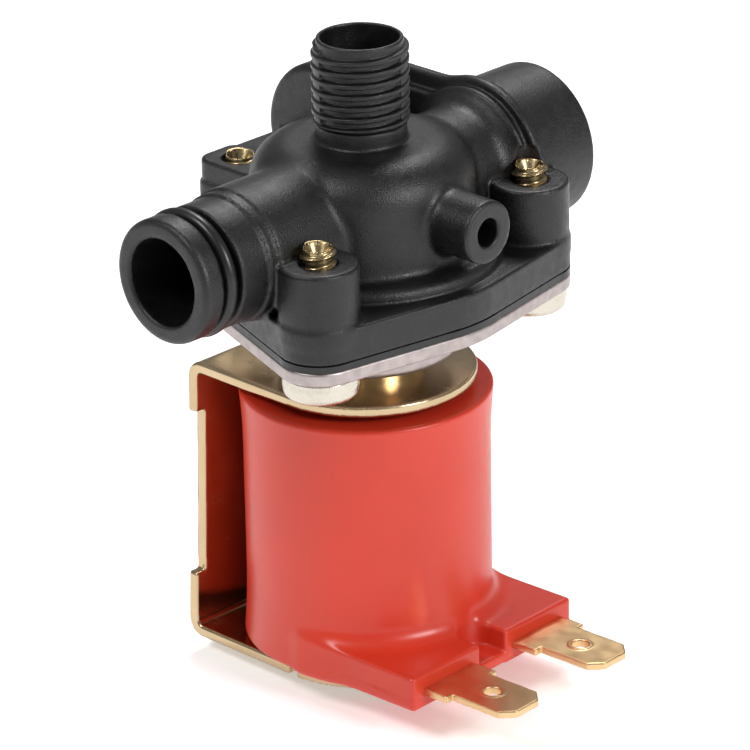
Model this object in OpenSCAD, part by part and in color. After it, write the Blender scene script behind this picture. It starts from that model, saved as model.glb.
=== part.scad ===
// Pilot-operated solenoid valve with a plastic manifold body.
// Origin: foot of the outlet thread, on the outlet axis. +Z runs up the outlet,
// +Y along the manifold towards the socket, +X towards the electrical terminals.

/* [Ports] */
// Height of the manifold axis below the foot of the outlet thread
manifold_drop = 9.55; // [9.3:0.05:9.8]
// Radius of the water way through the manifold
waterway_r = 4.75; // [4.4:0.05:4.9]
// Outer radius of the plug-in spigot
spigot_r = 6.75; // [6.7:0.05:6.8]
// Distance from the outlet axis to the spigot's open end
spigot_reach = 29.65; // [29:0.05:31]
// Length of the spigot that plugs into a neighbour's socket
spigot_len = 8.95; // [8.8:0.05:9]
// Radius of the socket that takes a neighbour's spigot
socket_bore_r = 6.9; // [6.85:0.05:7]
// Outer radius of the socket
socket_r = 8.65; // [8.6:0.05:8.8]
// Distance from the outlet axis to the socket's open end
socket_reach = 27.5; // [27.5:0.05:29]
// Depth of the socket
socket_depth = 6.9; // [6:0.1:7]
// Major radius of the outlet thread
thread_r = 5.25; // [5.1:0.05:5.3]
// Bore radius of the outlet
outlet_bore_r = 4.2; // [4:0.05:4.25]
// Height of the outlet spigot above the foot of its thread
outlet_h = 9.5; // [9.4:0.1:12]

/* [Body] */
// Radius of the domed chamber
dome_r = 12.1; // [11.9:0.05:12.3]
// Radius of the round middle of the flange, diaphragm and plate
disc_r = 16.5; // [16.3:0.1:16.8]
// Radius of the circle that the three plate screws stand on
screw_circle_r = 18.65; // [18.5:0.05:18.8]
// Radius of each screw lug
lug_r = 4.4; // [4.3:0.05:4.5]
// Thickness of the body flange
flange_t = 3.7; // [3.4:0.1:4]
// Thickness of the diaphragm's clamped rim
rim_t = 0.7; // [0.6:0.05:0.8]
// Thickness of the bonnet plate
plate_t = 1.6; // [1.5:0.05:1.7]

/* [Magnet] */
// Outer radius of the armature tube
tube_r = 4.5; // [4.4:0.05:4.6]
// Wall thickness of the armature tube
tube_wall = 0.4; // [0.35:0.05:0.45]
// Stroke of the plunger
plunger_stroke = 2; // [1.8:0.1:2]
// Running clearance of the plunger in its tube
plunger_gap = 0.05; // [0.03:0.01:0.1]

/* [Coil] */
// Radius of the coil at its two ends
coil_r = 13.85; // [13.6:0.05:13.95]
// Radius of the coil at its waist
coil_waist_r = 13.5; // [13.3:0.05:13.6]
// Height of the coil
coil_h = 29.2; // [29.2:0.1:31]
// How far the coil is turned in its bracket, in degrees
coil_skew = 2.4; // [0:0.1:4]
// Thickness of the bracket's sheet
sheet_t = 1.3; // [1.2:0.05:1.4]
// Width of the bracket
bracket_w = 24.2; // [23.6:0.1:24.4]
// Width of a terminal blade
blade_w = 6.3; // [6.3]
// Thickness of a terminal blade
blade_t = 0.8; // [0.8]
// Distance from the coil axis to the blade tips
blade_reach = 28.9; // [28:0.1:30]
// Distance between the two blades
blade_pitch = 14.7; // [14.2:0.1:15]

/* [Hidden] */
$fn = 96;
cut = 0.01;
hair = 0.05;

// Levels, from the top down
dome_top_z = -1.8;
boss_top_z = -8.8;
flange_top_z = -15.1;
flange_z = flange_top_z - flange_t;
plate_top_z = flange_z - rim_t;
plate_z = plate_top_z - plate_t;
dish_floor_z = plate_top_z - 4.6;
dish_z = dish_floor_z - plate_t;
bracket_top_z = -27.9;
coil_top_z = bracket_top_z - sheet_t - 0.8;
coil_z = coil_top_z - coil_h;
bracket_z = coil_z - 0.8 - sheet_t;
tube_end_z = bracket_z - 1.7;

// Body
manifold_z = -manifold_drop;
screw_angles = [-60, 60, 180];
neck_r = 4.9;
rim_h = 0.9;
rim_r = 4.67;
tube_arm_r = 7.05;
socket_arm_r = 7.05;
flare_y = 14.8;
ledge_y = 16.6;
ledge_inset = 0.95;
ledge_top_z = -2.85;
lip_y = 17.55;
lip_t = 1.15;
lip_r = 9.5;
lip_top_z = -0.95;
wall_low_z = -14;
shoulder_y = spigot_reach - spigot_len;
groove_y = spigot_reach - 2.65;
groove_w = 2.4;
groove_r = 5.5;
ring_wire_r = 0.74;
chamber_r = 10.4;
seat_z = -17.6;
seat_r = 5.4;
side_x = -16.4;
side_z = -8.5;
side_r = 8.1;
side_y = 10;
shelf_x = -screw_circle_r - lug_r + 0.6;
tap_boss = [17.4, 1, -8.5];
tap_r = 3.45;
tap_hole_r = 1.55;
tap_depth = 6.5;

// Bonnet plate
dish_r = 10.2;

// Screws
shank_r = 1.95;
screw_fit = 0.05;
head_r = 4;
head_h = 2.5;
screw_len = [14.1, 14.1, 12.8];

// Diaphragm, its pad and its insert
fold_r = 8.3;
fold_w = 1.6;
pad_r = 6.3;
pad_t = 0.7;
insert_r = 5.7;
insert_t = 0.8;
stem_r = 2.6;
nozzle_r = 1.3;
nozzle_z = plate_top_z - 0.6;
pilot_r = 0.5;

// Armature
tube_bore_r = tube_r - tube_wall;
tube_flange_r = 7;
tube_flange_t = 0.8;
plunger_r = tube_bore_r - plunger_gap;
seal_r = 2.2;
seal_t = 2;
seal_proud = 0.3;
core_top_z = -47;
spring_bore_r = 2.3;
spring_r = 1.75;
spring_wire_r = 0.25;
spring_h = 14;
spring_turns = 10;
shade_r = 3.5;
shade_w = 0.6;
shade_t = 1.2;

// Coil
hub_r = 5.4;
bobbin_flange_r = 11.2;
bobbin_flange_t = 1;
winding_r = 10.8;
winding_top_z = coil_top_z - 2.2;
winding_z = coil_z + 4.1;
block_x = 17.8;
block_y = 13.1;
block_top_z = coil_z + 3.75;
base_t = 1.4;
slot_half = 2.1;
blade_top_z = coil_z + 2.15;
blade_root_x = 9;
lead_r = 0.3;
lead_z = winding_z + 1.2;

// ---- shared shapes ----

// A cylinder along Y, from y0 to y1, centred on (x, z).
module along_y(x, z, y0, y1, r0, r1) {
    translate([x, y0, z])
        rotate([-90, 0, 0])
            cylinder(h = y1 - y0, r1 = r0, r2 = r1);
}

// A cylinder along Z, from z0 up to z1.
module along_z(z0, z1, r) {
    translate([0, 0, z0])
        cylinder(h = z1 - z0, r = r);
}

// The places of the three plate screws.
module at_screws() {
    for (angle = screw_angles)
        rotate(angle)
            translate([screw_circle_r, 0, 0])
                children();
}

// Corners of the wedge that joins one lug to the round middle. Its sides run a hair inside the
// common tangents, so that they cross both circles cleanly.
function lug_wedge() =
    let (tangent = acos((disc_r - lug_r) / screw_circle_r),
         side = [cos(tangent), sin(tangent)],
         lug = [screw_circle_r, 0],
         inner = disc_r - hair,
         outer = lug_r - hair)
    [[0, 0], inner * [side.x, -side.y], lug + outer * [side.x, -side.y],
     lug + outer * side, inner * side];

// Outline shared by the body flange, the diaphragm and the bonnet plate.
module lobed_outline() {
    circle(r = disc_r);
    for (angle = screw_angles)
        rotate(angle) {
            translate([screw_circle_r, 0])
                circle(r = lug_r);
            polygon(lug_wedge());
        }
}

// A round wire bent into a ring.
module wire_ring(ring_r, wire_r) {
    rotate_extrude()
        translate([ring_r, 0])
            circle(r = wire_r, $fn = 48);
}

// ---- body ----

module outlet_spigot() {
    along_z(dome_top_z - 2, 0, neck_r);
    along_z(0, outlet_h - rim_h, thread_r);
    along_z(outlet_h - rim_h, outlet_h, rim_r);
}

// Domed chamber standing on a rounded step.
module dome() {
    rotate_extrude()
        polygon([[0, flange_top_z - 1], [14.7, flange_top_z - 1], [14.7, flange_top_z],
            [14.3, flange_top_z + 1], [12.6, flange_top_z + 1.8], [dome_r, flange_top_z + 2.2],
            [dome_r - 0.1, dome_top_z - 6.5], [dome_r - 1, dome_top_z - 3.6],
            [dome_r - 2.8, dome_top_z - 1.5], [dome_r - 4.8, dome_top_z - 0.5],
            [neck_r, dome_top_z], [0, dome_top_z]]);
}

module manifold_arms() {
    along_y(0, manifold_z, -shoulder_y + 1.3, 0, tube_arm_r + 0.2, tube_arm_r);
    along_y(0, manifold_z, -shoulder_y, -shoulder_y + 1.3, 7, 7);
    along_y(0, manifold_z, -spigot_reach + 0.7, -shoulder_y, spigot_r, spigot_r);
    along_y(0, manifold_z, -spigot_reach, -spigot_reach + 0.7, spigot_r - 0.6, spigot_r);
    along_y(0, manifold_z, 0, ledge_y + 0.2, socket_arm_r, socket_arm_r);
    along_y(0, manifold_z, flare_y, ledge_y + 0.05, socket_arm_r - hair, lip_r - ledge_inset - hair);
    along_y(0, manifold_z, lip_y + 0.4, socket_reach, socket_r, socket_r);
}

// Outline of the rear wall: a disc round the socket, a disc round the side chamber, and a bridge.
module rear_outline(inset, top_z) {
    translate([0, manifold_z])
        circle(r = lip_r - inset);
    translate([side_x, side_z])
        circle(r = side_r - inset);
    translate([side_x, wall_low_z + inset])
        square([-side_x, top_z - wall_low_z - inset]);
}

// Rear wall, a lip standing behind a lower ledge, and the blind side chamber in front of it.
module rear_wall() {
    back_y = lip_y + lip_t;
    translate([0, back_y, 0])
        rotate([90, 0, 0])
            linear_extrude(height = lip_t)
                rear_outline(0, lip_top_z);
    translate([0, back_y - 0.3, 0])
        rotate([90, 0, 0])
            linear_extrude(height = back_y - 0.3 - ledge_y)
                rear_outline(ledge_inset, ledge_top_z);
    along_y(side_x, side_z, side_y, back_y - 0.2, side_r - 0.1, side_r - 0.1);
}

// Side boss and the shelf that ties it to the side chamber.
module side_boss() {
    corner = 1.8;
    near_y = -3.4;
    translate([0, 0, flange_top_z - 1])
        linear_extrude(height = boss_top_z - flange_top_z + 1 - hair)
            polygon([[shelf_x, near_y + corner], [shelf_x + corner, near_y], [shelf_x + 10, near_y],
                [shelf_x + 10, 3.1], [shelf_x, 3.1]]);
    translate([shelf_x, 3, boss_top_z - 4])
        cube([10, 9, 3.8]);
}

module tap_boss() {
    translate([0, tap_boss.y, tap_boss.z])
        rotate([0, 90, 0])
            cylinder(h = tap_boss.x, r = tap_r);
}

module body_outside() {
    translate([0, 0, flange_z])
        linear_extrude(height = flange_t)
            lobed_outline();
    dome();
    outlet_spigot();
    manifold_arms();
    rear_wall();
    side_boss();
    tap_boss();
    at_screws()
        along_z(flange_top_z - 1, boss_top_z, lug_r - 0.1);
}

// Ring chamber that the diaphragm closes from below.
module inlet_chamber() {
    along_z(flange_z - cut, dome_top_z - 5.5, chamber_r);
    translate([0, 0, dome_top_z - 5.5])
        cylinder(h = 3, r1 = chamber_r, r2 = 7);
}

module waterways() {
    along_y(0, manifold_z, -spigot_reach - cut, -8.5, waterway_r, waterway_r);
    along_y(0, manifold_z, 8.5, socket_reach - socket_depth + cut, waterway_r, waterway_r);
    along_y(0, manifold_z, socket_reach - socket_depth, socket_reach + cut, socket_bore_r, socket_bore_r);
}

module ring_groove() {
    difference() {
        along_y(0, manifold_z, -groove_y, -groove_y + groove_w, spigot_r + 1, spigot_r + 1);
        along_y(0, manifold_z, -groove_y - 1, -groove_y + groove_w + 1, groove_r, groove_r);
    }
}

module valve_body() {
    color("#2d2c2e")
        difference() {
            union() {
                difference() {
                    body_outside();
                    inlet_chamber();
                    waterways();
                    ring_groove();
                    at_screws()
                        along_z(flange_z - cut, boss_top_z + 3, shank_r + screw_fit);
                    translate([tap_boss.x - tap_depth, tap_boss.y, tap_boss.z])
                        rotate([0, 90, 0])
                            cylinder(h = tap_depth + cut, r = tap_hole_r);
                    along_y(side_x, side_z, side_y + 1.8, lip_y + lip_t + cut, 6.2, 6.2);
                    translate([-20, 0, flange_z - 5])
                        cube([40, lip_y + 10, 5]);
                }
                along_z(seat_z, dome_top_z - 2, seat_r);
            }
            along_z(seat_z - cut, outlet_h + cut, outlet_bore_r);
        }
}

module spigot_o_ring() {
    color("#151515")
        translate([0, -groove_y + groove_w / 2, manifold_z])
            rotate([90, 0, 0])
                wire_ring(groove_r + ring_wire_r, ring_wire_r);
}

// ---- diaphragm and bonnet ----

// Clamped rim with the rolled fold that carries the pad.
module diaphragm() {
    color("#1d1d1d") {
        difference() {
            translate([0, 0, plate_top_z])
                linear_extrude(height = rim_t)
                    lobed_outline();
            along_z(plate_top_z - cut, flange_z + cut, fold_r + fold_w - rim_t / 2);
            at_screws()
                along_z(plate_top_z - cut, flange_z + cut, shank_r + 0.3);
        }
        rotate_extrude()
            translate([fold_r, plate_top_z])
                intersection() {
                    difference() {
                        circle(r = fold_w);
                        circle(r = fold_w - rim_t);
                    }
                    translate([-fold_w, 0])
                        square([2 * fold_w, fold_w]);
                }
    }
}

// Thick middle of the diaphragm, which closes on the seat.
module valve_pad() {
    color("#1d1d1d")
        difference() {
            along_z(seat_z - pad_t, seat_z, pad_r);
            along_z(seat_z - pad_t - cut, seat_z + cut, stem_r);
        }
}

// Stiff pilot nozzle clipped through the middle of the pad.
module diaphragm_insert() {
    disc_top_z = seat_z - pad_t;
    color("#d8d2c4")
        difference() {
            union() {
                along_z(disc_top_z - insert_t, disc_top_z, insert_r);
                along_z(disc_top_z, seat_z + 0.7, stem_r);
                along_z(seat_z, seat_z + 0.7, stem_r + 0.8);
                along_z(nozzle_z, disc_top_z, nozzle_r);
            }
            along_z(nozzle_z - cut, seat_z + 0.7 + cut, pilot_r);
        }
}

// Flat lobed plate with a drawn dish that holds the armature tube.
module bonnet_plate() {
    color("#b5aaa8")
        difference() {
            union() {
                translate([0, 0, plate_z])
                    linear_extrude(height = plate_t)
                        lobed_outline();
                along_z(dish_z, plate_z, dish_r);
            }
            along_z(dish_floor_z, plate_top_z + cut, dish_r - 1.4);
            along_z(dish_z - cut, dish_floor_z + cut, tube_r + 0.05);
            along_z(dish_z + 0.5, dish_floor_z + cut, 5.7);
            at_screws()
                along_z(plate_z - cut, plate_top_z + cut, shank_r + 0.3);
        }
}

// Pan-head thread-forming screw number i, driven up from below the plate.
module plate_screw(i) {
    color("#c9c4ba")
        rotate(screw_angles[i])
            translate([screw_circle_r, 0, 0])
                difference() {
                    union() {
                        along_z(plate_z, plate_z + screw_len[i], shank_r);
                        along_z(plate_z - head_h + 0.5, plate_z, head_r);
                        translate([0, 0, plate_z - head_h])
                            cylinder(h = 0.5, r1 = head_r - 0.6, r2 = head_r);
                    }
                    for (turn = [0, 90])
                        rotate(turn)
                            translate([-2.2, -0.35, plate_z - head_h - cut])
                                cube([4.4, 0.7, 1.2]);
                }
}

module plate_screw_front() {
    plate_screw(0);
}

module plate_screw_back() {
    plate_screw(1);
}

module plate_screw_side() {
    plate_screw(2);
}

module tube_o_ring() {
    color("#1d1d1d")
        translate([0, 0, dish_floor_z - 0.55])
            wire_ring(tube_r + 0.55, 0.55);
}

// ---- armature ----

module armature_tube() {
    color("#bfc1c4")
        difference() {
            union() {
                along_z(tube_end_z, dish_floor_z + tube_flange_t, tube_r);
                along_z(dish_floor_z, dish_floor_z + tube_flange_t, tube_flange_r);
            }
            along_z(tube_end_z - cut, dish_floor_z + tube_flange_t + cut, tube_bore_r);
        }
}

module spacer_collar() {
    color("#cfc9a8")
        difference() {
            along_z(bracket_top_z, dish_z, 6.5);
            along_z(bracket_top_z - cut, dish_z + cut, tube_r + 0.05);
        }
}

module shade_groove(grow) {
    difference() {
        along_z(core_top_z - shade_t, core_top_z + grow, shade_r);
        along_z(core_top_z - shade_t - 1, core_top_z + 1, shade_r - shade_w);
    }
}

module fixed_core() {
    color("#a9abad")
        difference() {
            along_z(tube_end_z, core_top_z, tube_bore_r);
            shade_groove(cut);
        }
}

module shading_ring() {
    color("#b87333")
        shade_groove(0);
}

module plunger() {
    top_z = nozzle_z - seal_proud;
    bottom_z = core_top_z + plunger_stroke;
    color("#a9abad")
        difference() {
            along_z(bottom_z, top_z, plunger_r);
            along_z(top_z + seal_proud - seal_t, top_z + cut, seal_r);
            along_z(bottom_z - cut, core_top_z + spring_h, spring_bore_r);
            for (side = [-1, 1])
                translate([side * (plunger_r + 0.6), 0, bottom_z - cut])
                    cylinder(h = top_z - bottom_z + 2 * cut, r = 1, $fn = 32);
        }
}

module plunger_seal() {
    color("#2a2a2a")
        along_z(nozzle_z - seal_t, nozzle_z, seal_r);
}

// Points of ring k of the spring wire, a hexagon square to the helix.
function spring_ring(k, steps, sides) =
    let (turn = 360 * spring_turns * k / steps,
         z = core_top_z + spring_wire_r + (spring_h - 2 * spring_wire_r) * k / steps)
    [for (i = [0 : sides - 1])
        let (a = 360 * i / sides,
             r = spring_r + spring_wire_r * cos(a))
        [r * cos(turn), r * sin(turn), z + spring_wire_r * sin(a)]];

module plunger_spring() {
    steps = 160;
    sides = 6;
    rings = [for (k = [0 : steps]) each spring_ring(k, steps, sides)];
    walls = [for (k = [0 : steps - 1], i = [0 : sides - 1])
        let (j = (i + 1) % sides)
        [k * sides + i, (k + 1) * sides + i, (k + 1) * sides + j, k * sides + j]];
    ends = [[for (i = [0 : sides - 1]) i], [for (i = [sides - 1 : -1 : 0]) steps * sides + i]];
    color("#c8c8c8")
        polyhedron(points = rings, faces = concat(walls, ends));
}

// Push-on clip that keeps the coil unit on the tube.
module retaining_clip() {
    color("#cfc9a8")
        difference() {
            along_z(bracket_z - 0.9, bracket_z - 0.1, 6.8);
            along_z(bracket_z - 1, bracket_z, tube_r);
            for (i = [0 : 5])
                rotate(60 * i)
                    translate([tube_r - 0.3, -0.4, bracket_z - 1])
                        cube([1.5, 0.8, 1]);
        }
}

// ---- coil unit ----

// Side view of the bent sheet: two flanges and the back wall, with round outer bends.
module bracket_profile() {
    back_x = -coil_r - 0.65 - sheet_t;
    bend_r = 1.9;
    difference() {
        union() {
            for (x = [back_x + bend_r], z = [bracket_z + bend_r, bracket_top_z - bend_r])
                translate([x, z])
                    circle(r = bend_r, $fn = 48);
            translate([back_x, bracket_z + bend_r])
                square([sheet_t, bracket_top_z - bracket_z - 2 * bend_r]);
            for (z = [bracket_z, bracket_top_z - sheet_t])
                translate([back_x + bend_r, z])
                    square([40, sheet_t]);
        }
        translate([back_x + sheet_t, bracket_z + sheet_t])
            square([40, bracket_top_z - bracket_z - 2 * sheet_t]);
    }
}

// Plan view of the bracket: straight sides from the back wall to a round front.
module bracket_plan() {
    circle(r = bracket_w / 2);
    translate([-20, -bracket_w / 2])
        square([20, bracket_w]);
}

module bracket() {
    color("#dcc0a0")
        difference() {
            intersection() {
                rotate([90, 0, 0])
                    linear_extrude(height = bracket_w, center = true)
                        bracket_profile();
                translate([0, 0, bracket_z - 1])
                    linear_extrude(height = bracket_top_z - bracket_z + 2)
                        bracket_plan();
            }
            along_z(bracket_z - 1, bracket_top_z + 1, tube_r + 0.1);
            for (side = [-1, 1]) {
                translate([-20, side * bracket_w / 2 - 1.3, coil_z + 6])
                    cube([7, 2.6, 20]);
                translate([-0.9, side * bracket_w / 2 - 1.3, bracket_z - 1])
                    cube([1.4, 2.6, 3]);
            }
        }
}

// Everything on the coil is drawn in the coil's own direction.
module on_coil() {
    rotate(coil_skew)
        children();
}

module coil_outside() {
    rotate_extrude()
        polygon([[0, coil_z], [coil_r - 0.9, coil_z], [coil_r, coil_z + 1.2], [coil_waist_r, coil_z + 8],
            [coil_waist_r, coil_top_z - 6], [coil_r, coil_top_z - 0.3], [coil_r - 0.3, coil_top_z],
            [11.6, coil_top_z + 0.3], [11.2, coil_top_z + 0.8], [0, coil_top_z + 0.8]]);
    translate([0, -block_y, coil_z])
        cube([block_x, 2 * block_y, base_t]);
    for (side = [-1, 1])
        translate([0, side > 0 ? slot_half : -block_y, coil_z])
            cube([block_x, block_y - slot_half, block_top_z - coil_z]);
}

module terminal(side) {
    shoulder_w = blade_w + 1.7;
    shoulder_x = 21.1;
    tip = 1.4;
    hole_x = 24;
    color("#e6c89c")
        on_coil()
            translate([0, side * blade_pitch / 2, blade_top_z - blade_t])
                linear_extrude(height = blade_t)
                    difference() {
                        polygon([[blade_root_x, -shoulder_w / 2], [shoulder_x, -shoulder_w / 2],
                            [shoulder_x, -blade_w / 2], [blade_reach - tip, -blade_w / 2],
                            [blade_reach, -blade_w / 2 + tip], [blade_reach, blade_w / 2 - tip],
                            [blade_reach - tip, blade_w / 2], [shoulder_x, blade_w / 2],
                            [shoulder_x, shoulder_w / 2], [blade_root_x, shoulder_w / 2]]);
                        translate([hole_x, 0])
                            circle(r = 1);
                    }
}

// Wire from the winding out to the root of a blade.
module lead(side) {
    start_x = sqrt(pow(winding_r, 2) - pow(blade_pitch / 2 - lead_r, 2)) + 0.05;
    bend_x = blade_root_x + 0.8;
    color("#b5652b")
        on_coil()
            translate([0, side * blade_pitch / 2, 0]) {
                translate([start_x, 0, lead_z])
                    rotate([0, 90, 0])
                        cylinder(h = bend_x - start_x, r = lead_r, $fn = 24);
                translate([bend_x, 0, lead_z])
                    sphere(r = lead_r, $fn = 24);
                translate([bend_x, 0, blade_top_z])
                    cylinder(h = lead_z - blade_top_z, r = lead_r, $fn = 24);
            }
}

module terminal_near() {
    terminal(-1);
}

module terminal_far() {
    terminal(1);
}

module lead_near() {
    lead(-1);
}

module lead_far() {
    lead(1);
}

// Spool with its bore over the armature tube.
module bobbin() {
    color("#e8e4da")
        difference() {
            union() {
                along_z(coil_z - 0.8, coil_top_z + 0.8, hub_r);
                along_z(winding_top_z, winding_top_z + bobbin_flange_t, bobbin_flange_r);
                along_z(winding_z - bobbin_flange_t, winding_z, bobbin_flange_r);
            }
            along_z(coil_z - 0.8 - cut, coil_top_z + 0.8 + cut, tube_r + 0.1);
        }
}

module winding() {
    color("#b5652b")
        difference() {
            along_z(winding_z, winding_top_z, winding_r);
            along_z(winding_z - cut, winding_top_z + cut, hub_r);
        }
}

// Moulded cover of the coil, cast round everything that it holds.
module coil_shell() {
    color("#c8483c")
        difference() {
            on_coil()
                coil_outside();
            along_z(coil_z - cut, coil_top_z + 0.8 + cut, hub_r);
            along_z(winding_top_z, winding_top_z + bobbin_flange_t, bobbin_flange_r);
            along_z(winding_z - bobbin_flange_t, winding_z, bobbin_flange_r);
            along_z(winding_z - cut, winding_top_z + cut, winding_r);
            for (side = [-1, 1]) {
                terminal(side);
                lead(side);
            }
        }
}

valve_body();
spigot_o_ring();
diaphragm();
valve_pad();
diaphragm_insert();
bonnet_plate();
plate_screw_front();
plate_screw_back();
plate_screw_side();
tube_o_ring();
armature_tube();
spacer_collar();
fixed_core();
shading_ring();
plunger();
plunger_seal();
plunger_spring();
bracket();
coil_shell();
bobbin();
winding();
terminal_near();
terminal_far();
lead_near();
lead_far();
retaining_clip();
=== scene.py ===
"""Solenoid valve with a plastic manifold body. The moulded and pressed pieces are skinned from
rounded distance fields, in millimetres and in the CAD frame; the other pieces are the CAD's own."""

import math

import bpy
import numpy as np
from mathutils import Matrix, Vector


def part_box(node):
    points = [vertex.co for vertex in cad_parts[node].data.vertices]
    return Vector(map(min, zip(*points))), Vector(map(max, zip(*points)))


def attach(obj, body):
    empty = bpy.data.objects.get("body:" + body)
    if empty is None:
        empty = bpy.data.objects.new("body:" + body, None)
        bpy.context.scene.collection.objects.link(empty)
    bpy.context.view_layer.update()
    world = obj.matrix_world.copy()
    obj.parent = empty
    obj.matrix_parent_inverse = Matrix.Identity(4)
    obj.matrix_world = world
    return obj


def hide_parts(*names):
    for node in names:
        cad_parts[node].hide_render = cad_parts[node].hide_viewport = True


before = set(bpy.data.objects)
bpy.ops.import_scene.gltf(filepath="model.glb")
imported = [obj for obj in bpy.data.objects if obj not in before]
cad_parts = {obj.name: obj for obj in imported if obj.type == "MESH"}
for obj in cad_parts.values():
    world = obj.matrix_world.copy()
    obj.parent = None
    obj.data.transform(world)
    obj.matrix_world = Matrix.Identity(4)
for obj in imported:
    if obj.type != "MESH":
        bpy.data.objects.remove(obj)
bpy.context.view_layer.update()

MM = 0.001

# ---- sizes in millimetres, from the CAD's own boxes where it has them ----


def low_mm(node):
    return np.array(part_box(node)[0]) / MM


def high_mm(node):
    return np.array(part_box(node)[1]) / MM


# levels, from the outlet's foot at zero downwards; RIM_T is the diaphragm's clamped rim
DOME_TOP = -1.8
BOSS_TOP = -8.8
MANIFOLD_Z = -9.55
PLATE_TOP = high_mm("bonnet_plate")[2]
PLATE_T = 1.6
PLATE_LOW = PLATE_TOP - PLATE_T
DISH_LOW = low_mm("bonnet_plate")[2]
RIM_T = 0.7
FLANGE_LOW = PLATE_TOP + RIM_T
FLANGE_TOP = FLANGE_LOW + 3.7
SEAT_Z = high_mm("valve_pad")[2]
BRACKET_TOP = high_mm("bracket")[2]
BRACKET_LOW = low_mm("bracket")[2]
COIL_TOP = BRACKET_TOP - 2.1
COIL_LOW = COIL_TOP - 29.2

# ends of the body
SPIGOT_END = low_mm("valve_body")[1]
SOCKET_END = high_mm("valve_body")[1]
OUTLET_TOP = high_mm("valve_body")[2]

# the outline that flange, diaphragm and plate share
DISC_R = 16.5
LUG_R = 4.4
SCREW_CIRCLE = 18.65
SCREW_ANGLES = {"plate_screw_front": -60, "plate_screw_back": 60, "plate_screw_side": 180}

WATERWAY_R = 4.75
OUTLET_BORE_R = 4.2
TUBE_HOLE_R = 4.6
COIL_SKEW = math.radians(2.4)

# ---- distance fields: negative inside, in millimetres ----


def join(a, b, soft=0.01):
    """Union of two fields, with a fillet of about this size."""
    h = np.clip(0.5 + 0.5 * (b - a) / soft, 0, 1)
    return b + (a - b) * h - soft * h * (1 - h)


def overlap(a, b, soft=0.01):
    return -join(-a, -b, soft)


def cut(a, b, soft=0.01):
    return -join(-a, b, soft)


def extruded(outline, z, low, high, edge):
    """A flat outline's field pulled from low to high, with its edges rounded."""
    side = outline + edge
    end = np.abs(z - (low + high) / 2) - (high - low) / 2 + edge
    outside = np.hypot(np.maximum(side, 0), np.maximum(end, 0))
    return np.minimum(np.maximum(side, end), 0) + outside - edge


def rod(u, v, w, radius, low, high, edge=0.2):
    """A round bar along w, centred where u and v are zero."""
    return extruded(np.hypot(u, v) - radius, w, low, high, edge)


def rectangle(u, v, low, high, corner=0.01):
    """Flat rounded rectangle from low to high."""
    du = np.abs(u - (low[0] + high[0]) / 2) - (high[0] - low[0]) / 2 + corner
    dv = np.abs(v - (low[1] + high[1]) / 2) - (high[1] - low[1]) / 2 + corner
    outside = np.hypot(np.maximum(du, 0), np.maximum(dv, 0))
    return np.minimum(np.maximum(du, dv), 0) + outside - corner


def tapered_link(u, v, length, start_r, end_r):
    """Flat field of two discs, at the origin and at u = length, joined by their tangents."""
    v = np.abs(v)
    lean = (start_r - end_r) / length
    rise = math.sqrt(1 - lean * lean)
    along = rise * u - lean * v
    side = rise * v + lean * u - start_r
    start = np.hypot(u, v) - start_r
    end = np.hypot(u - length, v) - end_r
    return np.where(along < 0, start, np.where(along > rise * length, end, side))


def turned(x, y, angle):
    """Coordinates in a frame turned by this angle about Z."""
    c, s = math.cos(angle), math.sin(angle)
    return c * x + s * y, c * y - s * x


def lobed(x, y):
    """Outline shared by flange, diaphragm and plate: a disc with three lugs."""
    shape = np.hypot(x, y) - DISC_R
    for angle in SCREW_ANGLES.values():
        u, v = turned(x, y, math.radians(angle))
        shape = np.minimum(shape, tapered_link(u, v, SCREW_CIRCLE, DISC_R, LUG_R))
    return shape


def screw_holes(x, y, radius):
    holes = 1e3
    for angle in SCREW_ANGLES.values():
        u, v = turned(x, y, math.radians(angle))
        holes = np.minimum(holes, np.hypot(u - SCREW_CIRCLE, v) - radius)
    return holes


def threaded(u, v, w, major, depth, pitch, crest=0.3):
    """How far outside a right-hand external thread a point is. crest is the flat's share of the pitch.
    The flank makes the plain value too steep for a distance, so it is scaled down."""
    flank, steepness = 0.35, 0.7
    phase = w / pitch - np.arctan2(v, u) / (2 * math.pi)
    off_crest = np.abs(2 * (phase - np.floor(phase)) - 1)
    sunk = np.clip((off_crest - crest) / flank, 0, 1)
    return (np.hypot(u, v) - major + depth * sunk * sunk * (3 - 2 * sunk)) * steepness


# ---- the body ----

# the side chamber: its axis in x and z, its radius and its front
SIDE = (-16.4, -8.5)
SIDE_R = 8.1
SIDE_FRONT = 9.9

# the rear wall: a lip, and in front of it a ledge
LEDGE_Y = 16.6
LEDGE_INSET = 0.95
LEDGE_TOP = -2.85
LIP_Y = 17.55
LIP_R = 9.5
LIP_TOP = -0.95
WALL_BACK = 18.7
WALL_LOW = -14.0

# the spigot, the rear tube and the socket
ARM_R = 7.0
FLARE = 1.5
FLARE_LENGTH = 2.6
FLARE_STEEPNESS = 0.8
SPIGOT_R = 6.75
SHOULDER_Y = -20.7
GROOVE = (-27.1, -24.4)
GROOVE_R = 5.5
SOCKET_R = 8.7
SOCKET_BORE_R = 6.9
SOCKET_DEPTH = 6.9

# round the side screw: the outlines of a block, its foot and a shelf, and the foot's and shelf's levels
SCREW_BLOCK = (-22.45, -3.3), (-12, 3.2)
SCREW_FOOT = (-22.65, -3.5), (-12, 3.2)
SHELF = (-22.4, 1), (-13, 12)
FOOT_TOP = -11.3
SHELF_LOW = -13.2

# the dome, the step at its foot and the neck under the outlet
STEP_R = 14.85
STEP_H = 1.5
DOME_R = 12.1
DOME_EDGE = 4.6
NECK_R = 4.9

# inside the body
CHAMBER_R = 10.4
CHAMBER_EDGE = 3.2
SEAT_R = 5.4
SIDE_WALL = 1.9
BODY_SCREW_HOLE_R = 2.0

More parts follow.
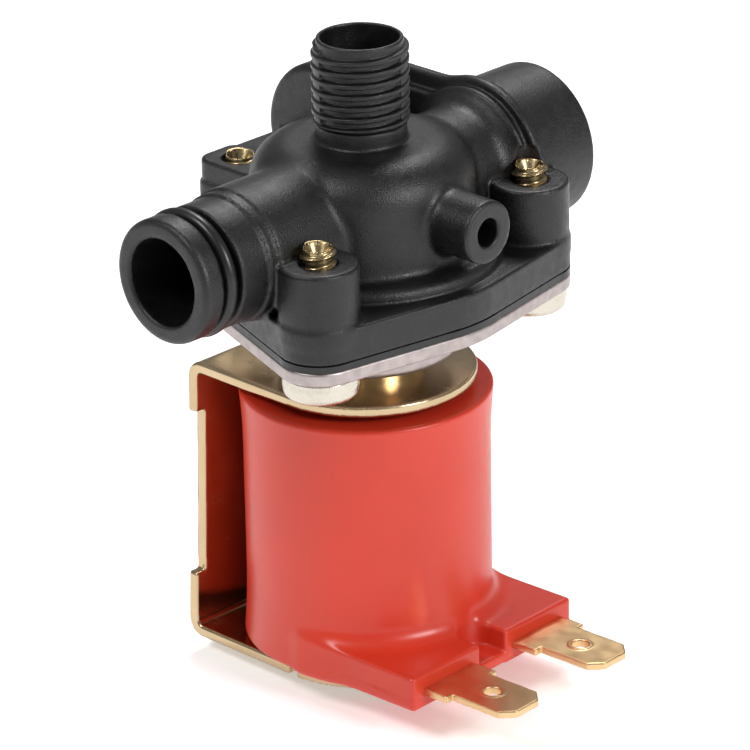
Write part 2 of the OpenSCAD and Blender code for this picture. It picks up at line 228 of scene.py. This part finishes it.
# the small round boss: its axis in y and z, its radius and its reach
TAP = (1.0, -8.5)
TAP_R = 3.45
TAP_REACH = 17.4
TAP_HOLE_R = 1.55

# the outlet's thread
THREAD_R = 5.25
THREAD_DEPTH = 0.62
PITCH = 1.26
THREAD_CORE_R = 4.67
SPLIT_ANGLE = math.radians(44.5)


def rear_outline(x, z, inset, top):
    """Discs round the socket and round the side chamber, and the wall between them."""
    collar = np.hypot(x, z - MANIFOLD_Z) - LIP_R + inset
    chamber = np.hypot(x - SIDE[0], z - SIDE[1]) - SIDE_R + inset
    bridge = rectangle(x, z, (SIDE[0], WALL_LOW + inset), (0, top), 0.1)
    return join(np.minimum(collar, chamber), bridge, 0.6)


def rear_wall(x, y, z):
    """Lip standing behind a lower ledge, with the socket behind it and the side chamber in front."""
    lip = extruded(rear_outline(x, z, 0, LIP_TOP), y, LIP_Y, WALL_BACK, 0.25)
    ledge = extruded(rear_outline(x, z, LEDGE_INSET, LEDGE_TOP), y, LEDGE_Y, WALL_BACK - 0.3, 0.25)
    chamber = rod(x - SIDE[0], z - SIDE[1], y, SIDE_R - 0.05, SIDE_FRONT, WALL_BACK, 1.0)
    socket = rod(x, z - MANIFOLD_Z, y, SOCKET_R, LIP_Y + 0.4, SOCKET_END, 0.45)
    wall = join(join(lip, ledge, 0.15), socket, 0.2)
    return join(wall, chamber, 0.3)


def arms(x, y, z):
    """Spigot side of the manifold, and the tube that flares into the rear wall.
    The flare's slope makes its field too steep for a distance, so it is scaled down."""
    zc = z - MANIFOLD_Z
    tube = rod(x, zc, y, ARM_R + 0.25, SHOULDER_Y + 1.35, 0, 0.2)
    tube = join(tube, rod(x, zc, y, ARM_R, SHOULDER_Y, -15, 0.25), 0.05)
    plug = rod(x, zc, y, SPIGOT_R, SPIGOT_END, -18, 0.7)
    groove = cut(rod(x, zc, y, SPIGOT_R + 1.75, *GROOVE, 0.15), rod(x, zc, y, GROOVE_R, -30, -20, 0.1))
    tube = join(tube, cut(plug, groove, 0.2), 0.1)
    flare = FLARE * np.clip((y - LEDGE_Y + FLARE_LENGTH) / FLARE_LENGTH, 0, 1) ** 2.5
    rear_tube = extruded(np.hypot(x, zc) - ARM_R - flare, y, 0, LEDGE_Y + 0.2, 0.1)
    return tube, rear_tube * FLARE_STEEPNESS


def side_boss(x, y, z):
    """Block round the side screw, and the shelf behind it."""
    block = extruded(rectangle(x, y, *SCREW_BLOCK, 1.9), z, FLANGE_TOP - 1, BOSS_TOP, 0.35)
    foot = extruded(rectangle(x, y, *SCREW_FOOT, 2.0), z, FLANGE_LOW + 1, FOOT_TOP, 0.3)
    shelf = extruded(rectangle(x, y, *SHELF, 0.8), z, SHELF_LOW, BOSS_TOP - 0.25, 0.35)
    return join(join(block, foot, 0.1), shelf, 0.3)


def body_outside(x, y, z):
    """Flange, step, dome and neck, with everything that stands on them."""
    flange = extruded(lobed(x, y), z, FLANGE_LOW, FLANGE_TOP, 0.3)
    step = rod(x, y, z, STEP_R, FLANGE_TOP - 2, FLANGE_TOP + STEP_H, 1.1)
    dome = rod(x, y, z, DOME_R, FLANGE_TOP - 2, DOME_TOP, DOME_EDGE)
    neck = rod(x, y, z, NECK_R, DOME_TOP - 3, 0.15, 0.1)
    tube, rear_tube = arms(x, y, z)
    shape = join(dome, tube, 0.6)
    shape = join(shape, rear_tube, 0.9)
    shape = join(shape, neck, 0.4)
    shape = join(shape, step, 1.2)
    shape = join(shape, flange, 0.25)
    shape = join(shape, np.maximum(rear_wall(x, y, z), FLANGE_LOW - z), 0.5)
    shape = join(shape, side_boss(x, y, z), 0.5)
    for node in ("plate_screw_front", "plate_screw_back"):
        u, v = turned(x, y, math.radians(SCREW_ANGLES[node]))
        boss = rod(u - SCREW_CIRCLE, v, z, LUG_R - 0.1, FLANGE_TOP - 2, BOSS_TOP, 0.35)
        shape = join(shape, boss, 0.5)
    tap = rod(y - TAP[0], z - TAP[1], x, TAP_R, 4, TAP_REACH, 0.3)
    return join(shape, tap, 0.9)


def body_inside(x, y, z):
    """The water's way from spigot and socket, over the seat and out, and the side chamber's recess."""
    zc = z - MANIFOLD_Z
    room = rod(x, y, z, CHAMBER_R, FLANGE_LOW - 4, DOME_TOP - CHAMBER_EDGE, CHAMBER_EDGE)
    room = join(room, rod(x, zc, y, WATERWAY_R, SPIGOT_END - 5, -8.5, 0.1), 0.3)
    room = join(room, rod(x, zc, y, WATERWAY_R, 8.5, SOCKET_END - 6, 0.1), 0.3)
    bore_y = SOCKET_END - SOCKET_DEPTH
    room = join(room, rod(x, zc, y, SOCKET_BORE_R, bore_y, SOCKET_END + 5, 0.3), 0.1)
    seat = rod(x, y, z, SEAT_R, SEAT_Z, 0, 0.3)
    room = cut(room, seat, 0.3)
    room = join(room, rod(x, y, z, OUTLET_BORE_R, SEAT_Z - 1, 5, 0.1), 0.1)
    recess = rod(x - SIDE[0], z - SIDE[1], y, SIDE_R - SIDE_WALL, SIDE_FRONT + SIDE_WALL, 30, 0.8)
    return join(room, recess, 0.05)


def body(x, y, z):
    shape = cut(body_outside(x, y, z), body_inside(x, y, z), 0.25)
    shape = cut(shape, np.maximum(screw_holes(x, y, BODY_SCREW_HOLE_R), z - BOSS_TOP - 3), 0.2)
    tap_hole = rod(y - TAP[0], z - TAP[1], x, TAP_HOLE_R, TAP_REACH - 6.5, TAP_REACH + 4.6, 0.2)
    return cut(shape, tap_hole, 0.25)


def outlet(x, y, z):
    """Threaded end of the outlet spigot. Its valleys are shallow where the mould's halves meet."""
    radius = np.hypot(x, y)
    thread = threaded(x, y, z, THREAD_R, THREAD_DEPTH, PITCH)
    core = rod(x, y, z, THREAD_CORE_R, -0.2, OUTLET_TOP, 0.25)
    band = extruded(radius - THREAD_R, z, 0.25, OUTLET_TOP - 0.75, 0.35)
    from_split = np.abs(turned(x, y, SPLIT_ANGLE)[0])
    land = extruded(radius - THREAD_R + 0.27, z, 0.3, OUTLET_TOP - 0.9, 0.3)
    land = np.maximum(land, 0.86 * radius - from_split)
    shape = join(join(overlap(thread, band, 0.1), core, 0.1), land, 0.15)
    return cut(shape, radius - OUTLET_BORE_R, 0.2)


# ---- plate, screws and bracket ----


DISH_R = 10.2
SCREW_HOLE_R = 2.25


def plate(x, y, z):
    """Lobed plate with a dish drawn down in its middle, recessed for the tube's seal."""
    shape = extruded(lobed(x, y), z, PLATE_LOW, PLATE_TOP, 0.3)
    shape = join(shape, rod(x, y, z, DISH_R, DISH_LOW, PLATE_TOP - 0.4, 0.9), 0.7)
    shape = cut(shape, rod(x, y, z, DISH_R - 1.4, DISH_LOW + PLATE_T, PLATE_TOP + 3, 0.6), 0.4)
    shape = cut(shape, screw_holes(x, y, SCREW_HOLE_R), 0.1)
    recess = rod(x, y, z, 5.7, DISH_LOW + 0.5, DISH_LOW + 3, 0.1)
    return cut(cut(shape, recess), np.hypot(x, y) - TUBE_HOLE_R)


HEAD_R = 4.02
HEAD_H = 2.5
SCREW_THREAD_R = 1.96


def screw(x, y, z, tip):
    """Pan-head screw at the origin of x and y: threaded end up, cross recess below."""
    head = rod(x, y, z, HEAD_R, PLATE_LOW - HEAD_H, PLATE_LOW, 0.95)
    head = join(head, rod(x, y, z, HEAD_R, PLATE_LOW - 1.3, PLATE_LOW, 0.12), 0.2)
    slot, reach = 0.45, 2.2
    cross = np.minimum(
        np.maximum(np.abs(x) - slot, np.abs(y) - reach),
        np.maximum(np.abs(y) - slot, np.abs(x) - reach),
    )
    head = cut(head, np.maximum(cross, z - PLATE_LOW + 1.1), 0.15)
    thread = threaded(x, y, z - tip, SCREW_THREAD_R, depth=0.4, pitch=1.3, crest=0.05)
    shank = extruded(thread, z, PLATE_LOW - 0.5, tip, 0.15)
    dimple = np.hypot(x, y) * 0.85 - 1.3 + (tip - z) * 0.5
    return join(head, cut(shank, dimple, 0.1), 0.1)


SHEET_T = 1.27
BRACKET_HALF = 12.1
BRACKET_BACK = -15.8
BACK_LEAN = 0.036
BACK_HALF = 10.8
NICK = (-0.8, -15), (0.4, -11.1)


def bracket(x, y, z):
    """Bent sheet: two flanges, and a narrower back wall that leans slightly. The lower flange has a nick."""
    middle = (BRACKET_TOP + BRACKET_LOW) / 2
    back = x - BRACKET_BACK - BACK_LEAN * (z - middle)
    outer = rectangle(back, z, (0, BRACKET_LOW), (60, BRACKET_TOP), 1.9)
    inner = rectangle(back, z, (SHEET_T, BRACKET_LOW + SHEET_T), (60, BRACKET_TOP - SHEET_T), 0.7)
    straight = np.maximum(np.abs(y) - BRACKET_HALF, x)
    plan = np.minimum(np.hypot(x, y) - BRACKET_HALF, straight)
    shape = overlap(overlap(outer, -inner, 0.15), plan, 0.3)
    relief = rectangle(np.abs(y), z, (BACK_HALF, BRACKET_LOW + 7.6), (20, BRACKET_TOP - 6.1), 0.3)
    shape = cut(shape, np.maximum(relief, x + 12), 0.2)
    nick = rectangle(x, y, *NICK, 0.5)
    shape = cut(shape, np.maximum(nick, z - BRACKET_LOW - 3), 0.2)
    return cut(shape, np.hypot(x, y) - TUBE_HOLE_R, 0.1)


# ---- coil ----

COIL_R = 13.5
COIL_FLARE = 0.37
TOP_FLARE_H = 7
LOW_FLARE_H = 8
COIL_BORE_R = 5.4
WINDING_R = 11.2

# terminal blocks and base, and the seam that runs round the base
BLOCK_X = 17.85
BLOCK_Y = 13.1
BLOCK_H = 3.75
SLOT = 2.1
BASE_H = 1.3
SEAM_H = 1.35
SEAM_HALF = 0.09
SEAM_DEPTH = 0.16

# blades
BLADE_TOP = high_mm("terminal_near")[2]
BLADE_T = 0.8
BLADE_Y = 7.35
BLADE_TIP = 28.9
BLADE_HALF = 3.15
ROOT_X = (12.3, 21.1)
ROOT_HALF = 4.1
CHAMFER = 1.4
HOLE_X = 24
HOLE_R = 1.0


def coil(x, y, z):
    """Waisted coil with a base and two terminal blocks."""
    u, v = turned(x, y, COIL_SKEW)
    top_end = np.clip(1 - (COIL_TOP - z) / TOP_FLARE_H, 0, 1) ** 2
    low_end = np.clip(1 - (z - COIL_LOW) / LOW_FLARE_H, 0, 1) ** 2
    radius = COIL_R + COIL_FLARE * (top_end + low_end)
    shape = extruded(np.hypot(u, v) - radius, z, COIL_LOW, COIL_TOP, 0.35)
    blocks = rectangle(u, np.abs(v), (2, SLOT), (BLOCK_X, BLOCK_Y), 0.3)
    blocks = extruded(blocks, z, COIL_LOW, COIL_LOW + BLOCK_H, 0.3)
    shape = join(shape, blocks, 2.4)
    base = rectangle(u, v, (0, -BLOCK_Y), (BLOCK_X, BLOCK_Y), 0.3)
    base = extruded(base, z, COIL_LOW, COIL_LOW + BASE_H, 0.3)
    shape = join(shape, base, 0.4)
    seam = np.abs(z - COIL_LOW - SEAM_H) - SEAM_HALF
    seam_x, seam_y = BLOCK_X - SEAM_DEPTH, BLOCK_Y - SEAM_DEPTH
    within = rectangle(u, v, (-20, -seam_y), (seam_x, seam_y), 0.3)
    shape = cut(shape, np.maximum(np.maximum(seam, -within), 6 - u), 0.1)
    shape = cut(shape, np.hypot(x, y) - COIL_BORE_R)
    room = extruded(np.hypot(x, y) - WINDING_R, z, COIL_LOW + 2.3, COIL_TOP - 1.2, 0.1)
    return cut(shape, room)


def blade(x, y, z, side):
    """Push-on terminal with a shouldered root, chamfered tip and a pierced hole."""
    u, v = turned(x, y, COIL_SKEW)
    v = v - side * BLADE_Y
    root = rectangle(u, v, (ROOT_X[0], -ROOT_HALF), (ROOT_X[1], ROOT_HALF), 0.2)
    neck = rectangle(u, v, (12, -BLADE_HALF), (BLADE_TIP, BLADE_HALF), 0.1)
    chamfer = (u + np.abs(v) - BLADE_TIP - BLADE_HALF + CHAMFER) * math.sqrt(0.5)
    outline = np.minimum(root, np.maximum(neck, chamfer))
    shape = extruded(outline, z, BLADE_TOP - BLADE_T, BLADE_TOP, 0.1)
    from_hole = np.hypot(u - HOLE_X, v) - HOLE_R
    burr = extruded(np.abs(from_hole - 0.15) - 0.2, z, BLADE_TOP - BLADE_T / 2, BLADE_TOP + 0.1, 0.05)
    return cut(join(shape, burr, 0.1), from_hole, 0.05)


# ---- turning a field into a mesh ----


def along_axis(axis):
    """Slices that pick the lower and the upper end of every grid edge along an axis."""
    lower = [slice(None)] * 3
    upper = [slice(None)] * 3
    lower[axis] = slice(0, -1)
    upper[axis] = slice(1, None)
    return tuple(lower), tuple(upper)


def net_points(field, inside):
    """One point in each grid cell that the surface crosses, and the cell's number."""
    cells = tuple(n - 1 for n in field.shape)
    total = np.zeros((3, *cells), np.float32)
    hits = np.zeros(cells, np.float32)
    for axis in range(3):
        lower, upper = along_axis(axis)
        crossed = inside[lower] != inside[upper]
        gap = np.where(crossed, field[lower] - field[upper], 1)
        share = np.where(crossed, field[lower] / gap, 0)
        u, v = (axis + 1) % 3, (axis + 2) % 3
        for du in (0, 1):
            for dv in (0, 1):
                pick = [slice(None)] * 3
                pick[u] = slice(du, du + cells[u])
                pick[v] = slice(dv, dv + cells[v])
                hit = crossed[tuple(pick)]
                hits += hit
                total[axis] += share[tuple(pick)]
                total[u] += hit * du
                total[v] += hit * dv
    used = hits > 0
    number = np.full(cells, -1, np.int64)
    number[used] = np.arange(used.sum())
    return np.argwhere(used) + (total[:, used] / hits[used]).T, number


def net_faces(inside, number):
    """A four-cornered face across every grid edge that the surface crosses."""
    faces = []
    for axis in range(3):
        lower, upper = along_axis(axis)
        u, v = (axis + 1) % 3, (axis + 2) % 3
        inner = [slice(None)] * 3
        inner[u] = inner[v] = slice(1, -1)
        crossed = (inside[lower] != inside[upper])[tuple(inner)]
        place = np.argwhere(crossed)
        place[:, [u, v]] += 1
        corners = []
        for du, dv in ((-1, -1), (0, -1), (0, 0), (-1, 0)):
            cell = place.copy()
            cell[:, u] += du
            cell[:, v] += dv
            corners.append(number[tuple(cell.T)])
        quads = np.stack(corners, 1)
        outward = inside[lower][tuple(inner)][crossed]
        quads[~outward] = quads[~outward][:, ::-1]
        faces.append(quads)
    return np.concatenate(faces)


NUDGE = 0.01
LEAST_SLOPE = 0.2
ROUNDS = 3


def settled(shape, points, step):
    """Moves points onto the exact surface, along its gradient, by half a step at most each round."""
    for _ in range(ROUNDS):
        value = shape(*points.T)
        slope = np.stack([
            (shape(*(points + shift).T) - shape(*(points - shift).T)) / (2 * NUDGE)
            for shift in np.eye(3) * NUDGE
        ], 1)
        size = np.maximum((slope**2).sum(1, keepdims=True), LEAST_SLOPE)
        move = -value[:, None] * slope / size
        points = points + np.clip(move, -step / 2, step / 2)
    return points


def skin(name, shape, low, high, step, material, body_name, *replaced):
    """Makes a piece from a field, sampled between two corners on a grid of this step."""
    low = np.array(low, float) - 2 * step
    counts = np.ceil((np.array(high, float) + 2 * step - low) / step).astype(int) + 1
    axes = [low[i] + step * np.arange(counts[i]) for i in range(3)]
    grid = axes[0][:, None, None], axes[1][None, :, None], axes[2][None, None, :]
    field = np.broadcast_to(shape(*grid), counts).astype(np.float32)
    inside = field < 0
    places, number = net_points(field, inside)
    points = settled(shape, places * step + low, step)
    faces = net_faces(inside, number)
    mesh = bpy.data.meshes.new(name)
    mesh.from_pydata(points * MM, [], faces)
    mesh.shade_smooth()
    return add(name, mesh, material, body_name, *replaced)


def add(name, mesh, material, body_name, *replaced):
    """Puts a mesh in the scene as a piece that rides on a body, in place of any CAD nodes named."""
    piece = bpy.data.objects.new(name, mesh)
    bpy.context.scene.collection.objects.link(piece)
    mesh.materials.append(material)
    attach(piece, body_name)
    if replaced:
        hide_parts(*replaced)
    return piece


# ---- materials ----


def new_material(name, colour, roughness, metallic=0.0, **sockets):
    """A Principled material with constants on its own sockets."""
    material = bpy.data.materials.new(name)
    material.use_nodes = True
    shader = material.node_tree.nodes["Principled BSDF"]
    shader.inputs["Base Color"].default_value = (*colour, 1)
    shader.inputs["Roughness"].default_value = roughness
    shader.inputs["Metallic"].default_value = metallic
    for socket, value in sockets.items():
        shader.inputs[socket.replace("_", " ")].default_value = value
    return material


def noise(material, scale, detail=3.0, stretch=(1, 1, 1)):
    """Noise in object space, so it moves with the piece."""
    tree = material.node_tree
    place = tree.nodes.new("ShaderNodeTexCoord")
    mapping = tree.nodes.new("ShaderNodeMapping")
    mapping.inputs["Scale"].default_value = stretch
    texture = tree.nodes.new("ShaderNodeTexNoise")
    texture.inputs["Scale"].default_value = scale
    texture.inputs["Detail"].default_value = detail
    tree.links.new(place.outputs["Object"], mapping.inputs["Vector"])
    tree.links.new(mapping.outputs["Vector"], texture.inputs["Vector"])
    return texture.outputs["Fac"]


def ramp(material, source, stops):
    node = material.node_tree.nodes.new("ShaderNodeValToRGB")
    elements = node.color_ramp.elements
    for element, (at, colour) in zip(elements, stops):
        element.position = at
        element.color = (*colour, 1)
    for at, colour in stops[2:]:
        elements.new(at).color = (*colour, 1)
    material.node_tree.links.new(source, node.inputs["Fac"])
    return node.outputs["Color"]


def feed(material, socket, source):
    shader = material.node_tree.nodes["Principled BSDF"]
    material.node_tree.links.new(source, shader.inputs[socket])


def grey(material, source, low, high):
    """Maps a 0.3 to 0.7 noise onto a range of values."""
    node = material.node_tree.nodes.new("ShaderNodeMapRange")
    node.inputs["From Min"].default_value = 0.3
    node.inputs["From Max"].default_value = 0.7
    node.inputs["To Min"].default_value = low
    node.inputs["To Max"].default_value = high
    material.node_tree.links.new(source, node.inputs["Value"])
    return node.outputs["Result"]


def bump(material, source, height, strength=1.0):
    node = material.node_tree.nodes.new("ShaderNodeBump")
    node.inputs["Distance"].default_value = height
    node.inputs["Strength"].default_value = strength
    material.node_tree.links.new(source, node.inputs["Height"])
    feed(material, "Normal", node.outputs["Normal"])


def moulded_black():
    """Matt black moulding with a fine grain and paler specks."""
    black, fleck = (0.005, 0.0045, 0.0048), (0.03, 0.028, 0.03)
    material = new_material("moulded_black", black, 0.4)
    speck = noise(material, 5200, 2)
    feed(material, "Base Color", ramp(material, speck, [(0.6, black), (0.8, fleck)]))
    feed(material, "Roughness", grey(material, noise(material, 900), 0.32, 0.46))
    bump(material, noise(material, 6500, 2), 0.00006, 0.9)
    return material


def rubber_black():
    material = new_material("rubber_black", (0.008, 0.008, 0.008), 0.35)
    feed(material, "Roughness", grey(material, noise(material, 700), 0.28, 0.45))
    return material


def coil_red():
    deep, bright = (0.57, 0.034, 0.013), (0.62, 0.038, 0.016)
    material = new_material("coil_red", (0.6, 0.036, 0.014), 0.33)
    tone = noise(material, 90, 2)
    feed(material, "Base Color", ramp(material, tone, [(0.3, deep), (0.7, bright)]))
    feed(material, "Roughness", grey(material, noise(material, 700), 0.3, 0.36))
    bump(material, noise(material, 1200, 2), 0.00001, 0.3)
    return material


def wear(material, rough, scale, stretch=(1, 1, 1), dent=0.00001):
    """Fine marks in a metal's shine and on its surface."""
    feed(material, "Roughness", grey(material, noise(material, scale * 2, 3, stretch), *rough))
    bump(material, noise(material, scale * 3, 3, stretch), dent, 0.5)


def metal(name, dark, light, rough, scale=500, stretch=(1, 1, 1), dent=0.00001):
    """A bare or plated metal with a mottled tone and fine marks."""
    material = new_material(name, light, rough[0], 1.0)
    tone = noise(material, scale, 5, stretch)
    feed(material, "Base Color", ramp(material, tone, [(0.35, dark), (0.65, light)]))
    wear(material, rough, scale, stretch, dent)
    return material


def screw_zinc():
    """Yellow passivated zinc, rubbed paler on the heads than on the threads."""
    pale, yellow = (0.6, 0.56, 0.48), (0.42, 0.32, 0.17)
    rough = (0.2, 0.36)
    material = new_material("screw_zinc", (0.66, 0.57, 0.42), rough[0], 1.0)
    wear(material, rough, 900, dent=0.000006)
    tree = material.node_tree
    place = tree.nodes.new("ShaderNodeTexCoord")
    split = tree.nodes.new("ShaderNodeSeparateXYZ")
    height = tree.nodes.new("ShaderNodeMapRange")
    height.inputs["From Min"].default_value = PLATE_LOW * MM
    height.inputs["From Max"].default_value = (PLATE_LOW + 6) * MM
    tree.links.new(place.outputs["Object"], split.inputs["Vector"])
    tree.links.new(split.outputs["Z"], height.inputs["Value"])
    feed(material, "Base Color", ramp(material, height.outputs["Result"], [(0, pale), (1, yellow)]))
    return material


def plain_plastic(name, dark, light):
    material = new_material(name, light, 0.5)
    feed(material, "Base Color", ramp(material, noise(material, 400), [(0.35, dark), (0.65, light)]))
    return material


def wound_copper():
    """Enamelled wire, banded like turns."""
    material = new_material("wound_copper", (0.5, 0.16, 0.04), 0.3, 1.0)
    bands = noise(material, 900, 2, (0.05, 0.05, 1))
    feed(material, "Base Color", ramp(material, bands, [(0.4, (0.28, 0.08, 0.02)), (0.6, (0.55, 0.2, 0.06))]))
    bump(material, bands, 0.00008)
    return material


BLACK = moulded_black()
RUBBER = rubber_black()
RED = coil_red()
PLATE = metal("plate_steel", (0.38, 0.33, 0.32), (0.48, 0.42, 0.41), (0.34, 0.5), 900, dent=0.000004)
SCREW = screw_zinc()
ZINC = metal("yellow_zinc", (0.52, 0.39, 0.23), (0.58, 0.45, 0.28), (0.18, 0.28), 220, dent=0.000004)
TUBE = metal("tube_steel", (0.45, 0.45, 0.46), (0.62, 0.62, 0.63), (0.15, 0.28), 500, (1, 1, 0.1))
BRASS = metal("blade_brass", (0.72, 0.48, 0.25), (0.78, 0.55, 0.3), (0.28, 0.38), 300, dent=0.000003)
IRON = metal("magnet_iron", (0.3, 0.3, 0.31), (0.5, 0.5, 0.51), (0.3, 0.45), 600)
COPPER = metal("bare_copper", (0.6, 0.22, 0.1), (0.8, 0.36, 0.18), (0.2, 0.35))
SPRING = metal("spring_steel", (0.45, 0.45, 0.46), (0.66, 0.66, 0.67), (0.2, 0.35))
NATURAL = plain_plastic("natural_nylon", (0.6, 0.56, 0.46), (0.7, 0.66, 0.56))
ENAMEL = wound_copper()

# ---- pieces ----

CARRIED = {
    "diaphragm": RUBBER,
    "valve_pad": RUBBER,
    "diaphragm_insert": NATURAL,
    "tube_o_ring": RUBBER,
    "armature_tube": TUBE,
    "spacer_collar": ZINC,
    "fixed_core": IRON,
    "shading_ring": COPPER,
    "plunger": IRON,
    "plunger_seal": RUBBER,
    "plunger_spring": SPRING,
    "bobbin": NATURAL,
    "winding": ENAMEL,
    "lead_near": ENAMEL,
    "lead_far": ENAMEL,
    "retaining_clip": ZINC,
}


def colour_carried():
    """Gives the CAD's own pieces their materials."""
    for node, material in CARRIED.items():
        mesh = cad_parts[node].data
        mesh.materials.clear()
        mesh.materials.append(material)


def make_valve():
    """The body in two pieces, so that its thread has a finer grid; the plate, screws and O-ring."""
    low, high = low_mm("valve_body"), high_mm("valve_body")
    skin("body", body, low, (*high[:2], 0.5), 0.3, BLACK, "valve", "valve_body")
    skin("outlet_end", outlet, (-5.5, -5.5, 0), (5.5, 5.5, OUTLET_TOP), 0.13, BLACK, "valve")
    low, high = low_mm("bonnet_plate"), high_mm("bonnet_plate")
    skin("plate", plate, low, high, 0.2, PLATE, "valve", "bonnet_plate")
    for node, angle in SCREW_ANGLES.items():
        place_screw(node, math.radians(angle))
    place_o_ring()


def place_screw(node, angle):
    low, high = low_mm(node), high_mm(node)
    centre = (SCREW_CIRCLE * math.cos(angle), SCREW_CIRCLE * math.sin(angle))

    def shape(x, y, z):
        return screw(x - centre[0], y - centre[1], z, high[2])

    skin(node.replace("plate_", ""), shape, low, high, 0.16, SCREW, "valve", node)


def place_o_ring():
    low, high = low_mm("spigot_o_ring"), high_mm("spigot_o_ring")
    wire = (high[1] - low[1]) / 2
    ring = (high[0] - low[0]) / 2 - wire
    middle = (low[1] + high[1]) / 2

    def shape(x, y, z):
        return np.hypot(np.hypot(x, z - MANIFOLD_Z) - ring, y - middle) - wire

    skin("o_ring", shape, low, high, 0.2, RUBBER, "valve", "spigot_o_ring")


def make_coil():
    low, high = low_mm("coil_shell"), high_mm("coil_shell")
    skin("coil", coil, low, high + 0.5, 0.3, RED, "coil_unit", "coil_shell")
    low, high = low_mm("bracket") - (1, 0, 0), high_mm("bracket")
    skin("coil_bracket", bracket, low, high, 0.25, ZINC, "coil_unit", "bracket")
    for node, side in (("terminal_near", -1), ("terminal_far", 1)):
        def shape(x, y, z, side=side):
            return blade(x, y, z, side)

        name = node.replace("terminal", "blade")
        skin(name, shape, low_mm(node), high_mm(node), 0.14, BRASS, "coil_unit", node)


# ---- camera, light and floor ----

AZIMUTH = math.radians(44.49)
ELEVATION = math.radians(23.28)
ROLL = math.radians(-1.035)
DISTANCE = 0.5225
AIM_RIGHT = 0.978 * MM
AIM_UP = 0.624 * MM
AIM_Z = -30 * MM
LENS = 231.5
SENSOR = 36

# azimuth and elevation in degrees, distance and size in metres, power in watts
LIGHTS = {
    "key": (-15, 50, 0.9, 0.3, 3.4),
    "fill": (95, 28, 0.9, 0.3, 4.6),
    "back": (215, 55, 0.9, 0.35, 4),
}
WORLD_LIGHT = 0.27
FLOOR_REACH = 3.0
FLOOR_GLOW = {"Emission_Color": (1, 1, 1, 1), "Emission_Strength": 0.35}


def outward(azimuth, elevation):
    """Unit vector away from the part, at an azimuth from the front and an elevation, in radians."""
    flat = math.cos(elevation)
    return Vector((math.sin(azimuth) * flat, -math.cos(azimuth) * flat, math.sin(elevation)))


def make_camera():
    back = outward(AZIMUTH, ELEVATION)
    level = Vector((math.cos(AZIMUTH), math.sin(AZIMUTH), 0))
    upright = back.cross(level)
    right = math.cos(ROLL) * level + math.sin(ROLL) * upright
    up = math.cos(ROLL) * upright - math.sin(ROLL) * level
    data = bpy.data.cameras.new("camera")
    data.lens = LENS
    data.sensor_width = SENSOR
    data.clip_start = 0.01
    camera = bpy.data.objects.new("camera", data)
    bpy.context.scene.collection.objects.link(camera)
    pose = Matrix((right, up, back)).transposed().to_4x4()
    pose.translation = back * DISTANCE + right * AIM_RIGHT + up * AIM_UP + Vector((0, 0, AIM_Z))
    camera.matrix_world = pose
    bpy.context.scene.camera = camera


def make_light(name, azimuth, elevation, distance, size, power):
    way = outward(math.radians(azimuth), math.radians(elevation))
    data = bpy.data.lights.new(name, "AREA")
    data.shape = "DISK"
    data.size = size
    data.energy = power
    light = bpy.data.objects.new(name, data)
    bpy.context.scene.collection.objects.link(light)
    light.location = way * distance + Vector((0, 0, AIM_Z))
    light.rotation_mode = "QUATERNION"
    light.rotation_quaternion = way.to_track_quat("Z", "Y")


def make_studio():
    world = bpy.data.worlds.new("studio")
    world.use_nodes = True
    background = world.node_tree.nodes["Background"]
    background.inputs["Color"].default_value = (1, 1, 1, 1)
    background.inputs["Strength"].default_value = WORLD_LIGHT
    bpy.context.scene.world = world
    bpy.context.scene.view_settings.view_transform = "Standard"
    for name, values in LIGHTS.items():
        make_light(name, *values)
    make_floor()


def make_floor():
    """A wide pale square under the tube's closed end."""
    floor_z = low_mm("armature_tube")[2] * MM
    mesh = bpy.data.meshes.new("floor")
    corners = [(u * FLOOR_REACH, v * FLOOR_REACH, floor_z) for u, v in ((-1, -1), (1, -1), (1, 1), (-1, 1))]
    mesh.from_pydata(corners, [], [(0, 1, 2, 3)])
    floor = bpy.data.objects.new("floor", mesh)
    bpy.context.scene.collection.objects.link(floor)
    mesh.materials.append(new_material("floor_white", (0.9, 0.9, 0.9), 0.8, **FLOOR_GLOW))


make_camera()
colour_carried()
make_valve()
make_coil()
make_studio()
